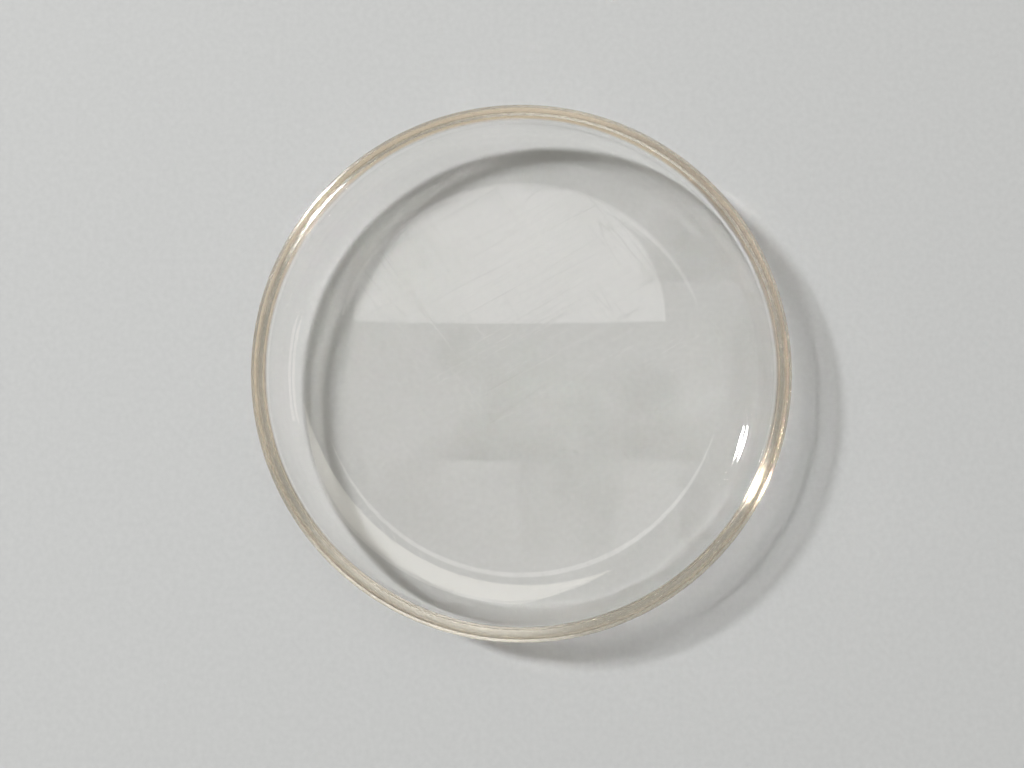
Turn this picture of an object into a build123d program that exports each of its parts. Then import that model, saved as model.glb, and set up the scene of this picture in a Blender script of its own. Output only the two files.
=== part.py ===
from build123d import *
from math import asin, degrees
import os

# A clear acrylic crystal for a round wristwatch, moulded and turned in one piece.
# It lies as in the photograph, on the top of its dome, with its rim and its open side up.
# Lengths are in millimetres. Z points up, and the origin is the point of the dome that it lies on.

# The whole crystal
outer_diameter = 36.0  # over the land that the bezel grips
wall = 1.0  # the upright wall at the rim
thickness = 1.1  # the window and the shoulder

# The window, a low dome in the middle
window_rise = 0.35  # of its outer face, from the axis to its edge

# The shoulder, where the window bends up, and the corner, where it turns into the wall
shoulder_width = 4.7  # from the edge of the window to the outside of the wall
shoulder_radius = 10.1
corner_radius = 2.8
inner_corner_radius = 1.8

# The wall and the rim, from the corner up
step_height = 0.15  # where the wall widens to the land
step_depth = 0.3
land_height = 1.4  # straight, and the widest part, so that the bezel grips it alone
outer_bevel = 0.25  # lets the rim start into the bezel
inner_bevel = 0.15  # takes the sharp corner off the mouth

outer_radius = outer_diameter / 2
side_radius = outer_radius - step_depth
bore_radius = outer_radius - wall
window_radius = outer_radius - shoulder_width
sphere_radius = (window_radius**2 + window_rise**2) / (2 * window_rise)
window_slope = window_radius / sphere_radius  # the sine of the window's slope at its edge


def dome(depth, corner, reach):
    """Draw one face of the dome, this deep, out to a wall at this radius, as three tangent arcs."""
    sphere = sphere_radius - depth
    bend = shoulder_radius - depth
    corner_slope = (reach - corner - (sphere - bend) * window_slope) / (bend - corner)
    window_turn = degrees(asin(window_slope))
    shoulder_turn = degrees(asin(corner_slope)) - window_turn
    window = JernArc((0, depth), (1, 0), sphere, window_turn)
    shoulder = JernArc(window @ 1, window % 1, bend, shoulder_turn)
    turn_up = JernArc(shoulder @ 1, shoulder % 1, corner, 90 - window_turn - shoulder_turn)
    return window @ 0, turn_up @ 1


with BuildPart() as crystal:
    # Half of the section. Both faces of the window and shoulder share their centres, for an even thickness.
    with BuildSketch(Plane.XZ) as section:
        with BuildLine():
            outer_pole, outer_foot = dome(0, corner_radius, side_radius)
            inner_pole, inner_foot = dome(thickness, inner_corner_radius, bore_radius)
            land_foot = (outer_radius, outer_foot.Y + step_height)
            rim_outside = (outer_radius, outer_foot.Y + step_height + land_height)
            rim_inside = (bore_radius, outer_foot.Y + step_height + land_height)
            Polyline(outer_foot, land_foot, rim_outside, rim_inside, inner_foot)
            Line(inner_pole, outer_pole)
        make_face()
        # The rim is a flat seat between two bevels.
        chamfer(section.vertices().sort_by_distance(rim_outside)[0], outer_bevel)
        chamfer(section.vertices().sort_by_distance(rim_inside)[0], inner_bevel)
    revolve(axis=Axis.Z)
crystal.part.label = "crystal"

os.makedirs("parts", exist_ok=True)
export_step(crystal.part, "parts/crystal.step")
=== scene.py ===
from math import asin, atan2, cos, pi, radians, sin, sqrt, tan

import bmesh
import bpy
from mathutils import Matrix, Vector


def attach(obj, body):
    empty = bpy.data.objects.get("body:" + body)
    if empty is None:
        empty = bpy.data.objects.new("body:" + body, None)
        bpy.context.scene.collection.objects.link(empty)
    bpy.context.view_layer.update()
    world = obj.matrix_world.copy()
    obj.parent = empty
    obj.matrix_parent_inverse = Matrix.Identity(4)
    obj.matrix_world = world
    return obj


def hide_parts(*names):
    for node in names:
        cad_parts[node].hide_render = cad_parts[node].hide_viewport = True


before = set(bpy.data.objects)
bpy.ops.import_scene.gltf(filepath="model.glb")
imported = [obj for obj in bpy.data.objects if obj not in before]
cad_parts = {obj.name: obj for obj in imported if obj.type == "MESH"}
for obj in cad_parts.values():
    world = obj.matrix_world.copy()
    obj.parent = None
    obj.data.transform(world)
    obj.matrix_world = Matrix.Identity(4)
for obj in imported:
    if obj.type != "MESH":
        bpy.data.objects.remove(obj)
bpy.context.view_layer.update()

MM = 0.001

# The crystal's sizes, in metres, the same as in the part's source
OUTER_DIAMETER = 36.0 * MM
WALL = 1.0 * MM
THICKNESS = 1.1 * MM
WINDOW_RISE = 0.35 * MM
SHOULDER_WIDTH = 4.7 * MM
SHOULDER_RADIUS = 10.1 * MM
CORNER_RADIUS = 2.8 * MM
INNER_CORNER_RADIUS = 1.8 * MM
STEP_HEIGHT = 0.15 * MM
STEP_DEPTH = 0.3 * MM
LAND_HEIGHT = 1.4 * MM
OUTER_BEVEL = 0.25 * MM
INNER_BEVEL = 0.15 * MM

OUTER_RADIUS = OUTER_DIAMETER / 2
SIDE_RADIUS = OUTER_RADIUS - STEP_DEPTH
BORE_RADIUS = OUTER_RADIUS - WALL
WINDOW_RADIUS = OUTER_RADIUS - SHOULDER_WIDTH
SPHERE_RADIUS = (WINDOW_RADIUS**2 + WINDOW_RISE**2) / (2 * WINDOW_RISE)
WINDOW_SLOPE = WINDOW_RADIUS / SPHERE_RADIUS  # the sine of the window's slope at its edge

# How finely it is drawn
TURNS = 384
WINDOW_STEPS = 40
SHOULDER_STEPS = 16
CORNER_STEPS = 28
BREAK_STEPS = 4  # across each small rounded edge
EDGE_BREAK = 0.02 * MM  # the radius left on a turned edge


# The section
def turn(start, heading, radius, sweep, steps):
    """Points along an arc that starts at this heading and turns left by sweep, the first left out."""
    centre = (start[0] - radius * sin(heading), start[1] + radius * cos(heading))
    headings = [heading + sweep * k / steps for k in range(1, steps + 1)]
    return [(centre[0] + radius * sin(a), centre[1] - radius * cos(a)) for a in headings]


def dome(depth, corner, reach):
    """One face of the dome, this deep in the crystal, from the axis out to the wall."""
    sphere = SPHERE_RADIUS - depth
    bend = SHOULDER_RADIUS - depth
    window_turn = asin(WINDOW_SLOPE)
    corner_slope = asin((reach - corner - (sphere - bend) * WINDOW_SLOPE) / (bend - corner))
    points = [(0.0, depth)]
    points += turn(points[-1], 0.0, sphere, window_turn, WINDOW_STEPS)
    points += turn(points[-1], window_turn, bend, corner_slope - window_turn, SHOULDER_STEPS)
    points += turn(points[-1], corner_slope, corner, pi / 2 - corner_slope, CORNER_STEPS)
    return points


def rounded(before, corner, after):
    """The corner between two neighbours, rounded by the edge break."""
    to_before = (Vector(before) - Vector(corner)).normalized()
    to_after = (Vector(after) - Vector(corner)).normalized()
    half = to_before.angle(to_after) / 2
    start = Vector(corner) + to_before * (EDGE_BREAK / tan(half))
    end = Vector(corner) + to_after * (EDGE_BREAK / tan(half))
    middle = Vector(corner) + (to_before + to_after).normalized() * (EDGE_BREAK / sin(half))
    first = atan2(start.y - middle.y, start.x - middle.x)
    swing = atan2(end.y - middle.y, end.x - middle.x) - first
    swing = (swing + pi) % (2 * pi) - pi
    angles = [first + swing * k / BREAK_STEPS for k in range(BREAK_STEPS + 1)]
    return [(middle.x + EDGE_BREAK * cos(a), middle.y + EDGE_BREAK * sin(a)) for a in angles]


outside = dome(0.0, CORNER_RADIUS, SIDE_RADIUS)
inside = dome(THICKNESS, INNER_CORNER_RADIUS, BORE_RADIUS)
land_foot = outside[-1][1] + STEP_HEIGHT
RIM_HEIGHT = land_foot + LAND_HEIGHT
corners = [
    outside[-1],
    (OUTER_RADIUS, land_foot),
    (OUTER_RADIUS, RIM_HEIGHT - OUTER_BEVEL),
    (OUTER_RADIUS - OUTER_BEVEL, RIM_HEIGHT),
    (BORE_RADIUS + INNER_BEVEL, RIM_HEIGHT),
    (BORE_RADIUS, RIM_HEIGHT - INNER_BEVEL),
    inside[-1],
]
section = list(outside)
for k in range(1, len(corners) - 1):
    section += rounded(corners[k - 1], corners[k], corners[k + 1])
section += reversed(inside)


# Materials
class Tree:
    """Short calls for the nodes of a material or of the world."""

    def __init__(self, owner):
        owner.use_nodes = True
        self.owner = owner
        self.nodes = owner.node_tree.nodes
        self.links = owner.node_tree.links

    def put(self, value, socket):
        if isinstance(value, bpy.types.NodeSocket):
            self.links.new(value, socket)
        else:
            socket.default_value = value

    def add(self, kind, inputs=(), **settings):
        node = self.nodes.new(kind)
        for key, value in settings.items():
            setattr(node, key, value)
        for key, value in dict(inputs).items():
            self.put(value, node.inputs[key])
        return node

    def math(self, operation, *values):
        return self.add("ShaderNodeMath", enumerate(values), operation=operation).outputs[0]

    def noise(self, where, scale, detail=2.0, roughness=0.5):
        inputs = {"Vector": where, "Scale": scale, "Detail": detail, "Roughness": roughness}
        return self.add("ShaderNodeTexNoise", inputs).outputs["Fac"]

    def span(self, value, low, high, start, end):
        inputs = {"Value": value, "From Min": low, "From Max": high, "To Min": start, "To Max": end}
        return self.add("ShaderNodeMapRange", inputs).outputs["Result"]

    def principled(self, **values):
        for key, value in values.items():
            self.put(value, self.nodes["Principled BSDF"].inputs[key.replace("_", " ")])


def material(name):
    return Tree(bpy.data.materials.new(name))


# How the acrylic looks
ACRYLIC_IOR = 1.49
DEPTH_TINT = (1.0, 0.95, 0.86, 1.0)
DEPTH_DENSITY = 5.0  # per metre
POLISHED_COLOUR = (1.0, 0.995, 0.98, 1.0)
SMEAR_SCALE = 90.0
SMEAR_ROUGHNESS = 0.03
WAVE_SCALE = 25.0  # the slight unevenness of the polish
HAIRLINE_ROUGHNESS = 0.08
POLISH_RELIEF = 0.02 * MM
POLISH_BUMP = 0.05
TURNED_COLOUR = (1.0, 0.996, 0.982, 1.0)
RING_SCALE = 26000.0  # the tool's finest rings
BROAD_RING_SCALE = 6000.0
PATCH_SCALE = 400.0  # how the roughness varies along the rim
RING_RELIEF = 0.01 * MM
RING_BUMP = 0.85
SATIN = (0.14, 0.27)  # the least and the most roughness of the rim


def acrylic(tree, colour, rough, height, strength, relief):
    """What both finishes share: clear acrylic, a little warm in depth, over this roughness and relief."""
    bump = tree.add("ShaderNodeBump", {"Strength": strength, "Distance": relief, "Height": height})
    tree.principled(Base_Color=colour, Transmission_Weight=1.0, IOR=ACRYLIC_IOR, Roughness=rough)
    tree.principled(Normal=bump.outputs[0])
    depth = tree.add("ShaderNodeVolumeAbsorption", {"Color": DEPTH_TINT, "Density": DEPTH_DENSITY})
    tree.put(depth.outputs[0], tree.nodes["Material Output"].inputs["Volume"])
    return tree.owner


def hairlines(tree, where, angle, stretch, scale, width):
    """Fine straight scratches at one angle, 1 on a scratch and 0 off it."""
    mapping = {"Vector": where, "Rotation": (0.0, 0.0, angle), "Scale": (stretch, 1.0, 1.0)}
    place = tree.add("ShaderNodeMapping", mapping, vector_type="TEXTURE").outputs[0]
    ridge = tree.math("ABSOLUTE", tree.math("SUBTRACT", tree.noise(place, scale, 1.0), 0.5))
    return tree.span(ridge, 0.0, width, 1.0, 0.0)


def polished():
    """Polished acrylic, with hairlines and smears from handling."""
    t = material("clear acrylic")
    where = t.add("ShaderNodeTexCoord").outputs["Object"]
    smears = t.span(t.noise(where, SMEAR_SCALE, 3.0, 0.6), 0.45, 0.8, 0.0, SMEAR_ROUGHNESS)
    one_way = hairlines(t, where, 0.5, 60.0, 900.0, 0.004)
    other_way = hairlines(t, where, 2.2, 40.0, 700.0, 0.003)
    lines = t.math("MAXIMUM", one_way, other_way)
    rough = t.math("ADD", smears, t.math("MULTIPLY", lines, HAIRLINE_ROUGHNESS))
    waves = t.math("MULTIPLY", t.noise(where, WAVE_SCALE), 2.0)
    height = t.math("ADD", t.math("MULTIPLY", lines, -1.0), waves)
    return acrylic(t, POLISHED_COLOUR, rough, height, POLISH_BUMP, POLISH_RELIEF)


def turned():
    """The rim as the tool left it, with fine rings and a satin face."""
    t = material("turned rim")
    where = t.add("ShaderNodeTexCoord").outputs["Object"]
    x, y, z = t.add("ShaderNodeSeparateXYZ", {"Vector": where}).outputs
    radius = t.math("SQRT", t.math("ADD", t.math("MULTIPLY", x, x), t.math("MULTIPLY", y, y)))
    across = t.add("ShaderNodeCombineXYZ", {"X": radius, "Y": 0.0, "Z": z}).outputs[0]
    rings = t.noise(across, RING_SCALE, 2.0, 0.6)
    broad = t.noise(across, BROAD_RING_SCALE, 1.0)
    height = t.math("ADD", rings, t.math("MULTIPLY", broad, 2.0))
    patches = t.math("ADD", rings, t.noise(where, PATCH_SCALE))
    rough = t.span(patches, 0.6, 1.4, *SATIN)
    return acrylic(t, TURNED_COLOUR, rough, height, RING_BUMP, RING_RELIEF)


# The crystal
def lathe(name, points):
    """A closed solid turned about the Z axis. The first and the last point lie on the axis."""
    mesh = bpy.data.meshes.new(name)
    build = bmesh.new()
    angles = [2 * pi * k / TURNS for k in range(TURNS)]
    rings = [[build.verts.new((0.0, 0.0, points[0][1]))]]
    for radius, height in points[1:-1]:
        rings.append([build.verts.new((radius * cos(a), radius * sin(a), height)) for a in angles])
    rings.append([build.verts.new((0.0, 0.0, points[-1][1]))])
    for lower, upper in zip(rings, rings[1:]):
        for k in range(TURNS):
            after = (k + 1) % TURNS
            if len(lower) == 1:
                build.faces.new([lower[0], upper[k], upper[after]])
            elif len(upper) == 1:
                build.faces.new([lower[k], upper[0], lower[after]])
            else:
                build.faces.new([lower[k], upper[k], upper[after], lower[after]])
    bmesh.ops.recalc_face_normals(build, faces=build.faces)
    build.to_mesh(mesh)
    build.free()
    obj = bpy.data.objects.new(name, mesh)
    bpy.context.scene.collection.objects.link(obj)
    for face in mesh.polygons:
        face.use_smooth = True
    return obj


crystal = lathe("crystal_clear", section)
crystal.data.materials.append(polished())
crystal.data.materials.append(turned())
for face in crystal.data.polygons:
    reach = sqrt(face.center.x**2 + face.center.y**2)
    above = face.center.z > RIM_HEIGHT - OUTER_BEVEL - EDGE_BREAK
    if above and reach > BORE_RADIUS + EDGE_BREAK:
        face.material_index = 1
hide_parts("crystal")
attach(crystal, "root")

# The floor, a pale grainy sheet
FLOOR_SIZE = 1.2
FLOOR_GAP = 0.06 * MM  # keeps the light paths between the window and the floor from being lost
FLOOR_GRAIN = 2500.0
FLOOR_TONES = {"Red": (0.485, 0.515), "Green": (0.505, 0.535), "Blue": (0.53, 0.56)}
bpy.ops.mesh.primitive_plane_add(size=FLOOR_SIZE)
floor = bpy.context.object
floor.name = "floor"
floor.location.z = -FLOOR_GAP
paper = material("floor")
grain = paper.noise(paper.add("ShaderNodeTexCoord").outputs["Object"], FLOOR_GRAIN, 3.0)
tone = paper.add("ShaderNodeCombineColor")
for channel, tones in FLOOR_TONES.items():
    paper.put(paper.span(grain, 0.3, 0.7, *tones), tone.inputs[channel])
paper.principled(Base_Color=tone.outputs[0], Roughness=0.9, Specular_IOR_Level=0.1)
floor.data.materials.append(paper.owner)


# Lights
def lamp(name, azimuth, elevation, distance, shape, width, height, power, colour):
    """An area lamp that faces the origin, at this azimuth and elevation in degrees."""
    data = bpy.data.lights.new(name, "AREA")
    data.shape = shape
    data.size = width
    data.size_y = height
    data.energy = power
    data.color = colour
    obj = bpy.data.objects.new(name, data)
    bpy.context.scene.collection.objects.link(obj)
    level = distance * cos(radians(elevation))
    rise = distance * sin(radians(elevation))
    obj.location = (level * cos(radians(azimuth)), level * sin(radians(azimuth)), rise)
    obj.rotation_euler = (-obj.location).to_track_quat("-Z", "Y").to_euler()


# The key is small and makes the shadows and the sharp glints. The others are broad and dim.
lamp("key", 154.0, 44.6, 0.8, "ELLIPSE", 0.085, 0.13, 6.0, (1.0, 0.98, 0.95))
lamp("far side", 66.0, 65.0, 1.0, "RECTANGLE", 0.45, 0.34, 1.05, (1.0, 0.965, 0.88))
lamp("right side", 8.0, 48.0, 1.0, "RECTANGLE", 0.3, 0.2, 0.45, (1.0, 0.88, 0.86))

# A half-round panel overhead, which the window mirrors. Its edges lie at these angles from the vertical.
PANEL_HEIGHT = 1.2
PANEL_NEAR = PANEL_HEIGHT * tan(radians(7.1))
PANEL_DEPTH = PANEL_HEIGHT * tan(radians(10.7)) - PANEL_NEAR
PANEL_HALF = PANEL_HEIGHT * tan(radians(4.15))
PANEL_SHIFT = 0.004
PANEL_STEPS = 48
PANEL_STRENGTH = 1.75
PANEL_COLOUR = (1.0, 0.98, 0.94, 1.0)
edge = []
for k in range(PANEL_STEPS + 1):
    around = pi * k / PANEL_STEPS
    across = PANEL_SHIFT + PANEL_HALF * cos(around)
    edge.append((across, PANEL_NEAR + PANEL_DEPTH * sin(around), PANEL_HEIGHT))
panel_mesh = bpy.data.meshes.new("panel")
panel_mesh.from_pydata(edge, [], [list(reversed(range(len(edge))))])
panel = bpy.data.objects.new("panel", panel_mesh)
bpy.context.scene.collection.objects.link(panel)
glow = material("panel glow")
glow.nodes.remove(glow.nodes["Principled BSDF"])
emitter = glow.add("ShaderNodeEmission", {"Color": PANEL_COLOUR, "Strength": PANEL_STRENGTH})
glow.put(emitter.outputs[0], glow.nodes["Material Output"].inputs["Surface"])
panel_mesh.materials.append(glow.owner)

# The room, dimmer towards the horizon and warm white overhead
ROOM_LEVEL = 0.36
ROOM_LEAN = 0.8
HORIZON_COLOUR = (0.78, 0.75, 0.7, 1.0)
OVERHEAD_COLOUR = (1.0, 0.955, 0.82, 1.0)
OVERHEAD_FROM = 0.9  # the height in the sky, from 0 to 1, where the colour is the overhead one
HORIZON_LEVEL = 0.8
HORIZON_TOP = 0.35  # the height in the sky where the paler part ends
world = bpy.data.worlds.new("world")
bpy.context.scene.world = world
sky = Tree(world)
direction = sky.add("ShaderNodeTexCoord").outputs["Generated"]
x, y, z = sky.add("ShaderNodeSeparateXYZ", {"Vector": direction}).outputs
ramp = sky.add("ShaderNodeValToRGB", {0: z})
at_horizon, overhead = ramp.color_ramp.elements
at_horizon.position = 0.0
at_horizon.color = HORIZON_COLOUR
overhead.position = OVERHEAD_FROM
overhead.color = OVERHEAD_COLOUR
# The room is brighter on the far side, +Y, so the near half of the rim gets more light than the far half.
room = sky.math("MULTIPLY_ADD", y, ROOM_LEVEL * ROOM_LEAN, ROOM_LEVEL)
# The horizon is paler to the camera and to what mirrors or bends the light, and lights nothing else more.
ray = sky.add("ShaderNodeLightPath").outputs
bent = sky.math("MAXIMUM", ray["Is Glossy Ray"], ray["Is Transmission Ray"])
seen = sky.math("MAXIMUM", ray["Is Camera Ray"], bent)
fade = sky.math("SUBTRACT", 1.0, sky.math("DIVIDE", z, HORIZON_TOP))
low = sky.math("MINIMUM", sky.math("MAXIMUM", fade, 0.0), 1.0)
share = sky.math("MULTIPLY", seen, low)
rest = sky.math("MULTIPLY", room, sky.math("SUBTRACT", 1.0, share))
background = sky.nodes["Background"]
sky.put(ramp.outputs[0], background.inputs["Color"])
sky.put(sky.math("MULTIPLY_ADD", share, HORIZON_LEVEL, rest), background.inputs["Strength"])

# The camera, almost straight above, with the rim a little right of the middle and above it
FOCAL_PIXELS = 1035.0
IMAGE_WIDTH = 1024
SENSOR = 36.0
RIM_PIXELS = 543.5
PIXELS_PER_METRE = RIM_PIXELS / OUTER_DIAMETER
TILT = radians(5.2)
AIM_RIGHT = -9.5  # pixels from the rim's centre to the point aimed at
AIM_UP = -17.0

camera_data = bpy.data.cameras.new("camera")
camera = bpy.data.objects.new("camera", camera_data)
bpy.context.scene.collection.objects.link(camera)
bpy.context.scene.camera = camera
camera_data.sensor_width = SENSOR
camera_data.lens = FOCAL_PIXELS / IMAGE_WIDTH * SENSOR
camera_data.clip_start = 0.001
target = Vector((AIM_RIGHT / PIXELS_PER_METRE, AIM_UP / PIXELS_PER_METRE, RIM_HEIGHT))
camera.location = target + FOCAL_PIXELS / PIXELS_PER_METRE * Vector((0.0, -sin(TILT), cos(TILT)))
camera.rotation_euler = (TILT, 0.0, 0.0)

# Light runs up the wall by many total reflections before it leaves at the rim.
paths = bpy.context.scene.cycles
paths.max_bounces = 40
paths.transmission_bounces = 40
paths.glossy_bounces = 12
# The key lights the floor through the window, so such paths stay sharp and whole.
paths.blur_glossy = 0.0
paths.sample_clamp_indirect = 0.0
paths.use_guiding = True
paths.guiding_training_samples = 32
bpy.context.scene.view_settings.view_transform = "Standard"
